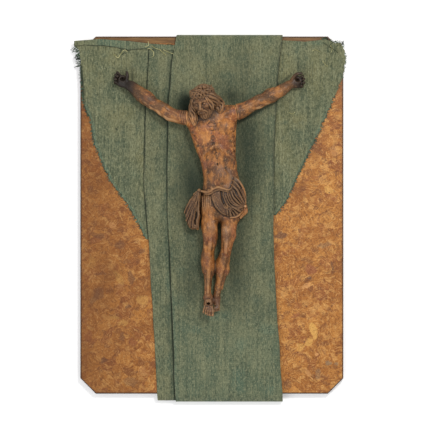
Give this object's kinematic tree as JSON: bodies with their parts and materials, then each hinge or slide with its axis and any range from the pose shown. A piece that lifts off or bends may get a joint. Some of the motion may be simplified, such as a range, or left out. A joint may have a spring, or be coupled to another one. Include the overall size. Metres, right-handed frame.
{
  "type": "crucifix corpus figure",
  "caption": "Carved wooden crucifix corpus with a draped loincloth, fixed over folded green cloth on a flat board with clipped corners.",
  "frame": {"origin": "middle of the object's outline, in the plane that the turned-back cloth rests on", "axes": "+X to the right of the picture, which is the figure's left; +Y from the feet to the head; +Z out of the board's face, towards the viewer"},
  "size_m": [0.271, 0.368, 0.0505],
  "materials": {
    "carved_wood": "old waxed boxwood with a brown patina, worn on the high places and nearly black at the hands",
    "burl_panel": "satin burl-patterned face with a thin dark edge",
    "green_cloth": "coarse faded green weave with yellowish slubs and frayed edges"
  },
  "bodies": {
    "root": {"corpus_body": "carved_wood", "right_arm": "carved_wood", "left_arm": "carved_wood", "board": "burl_panel", "runner": "green_cloth", "side_strip": "green_cloth", "left_wing": "green_cloth", "right_wing": "green_cloth"}
  },
  "joints": []
}
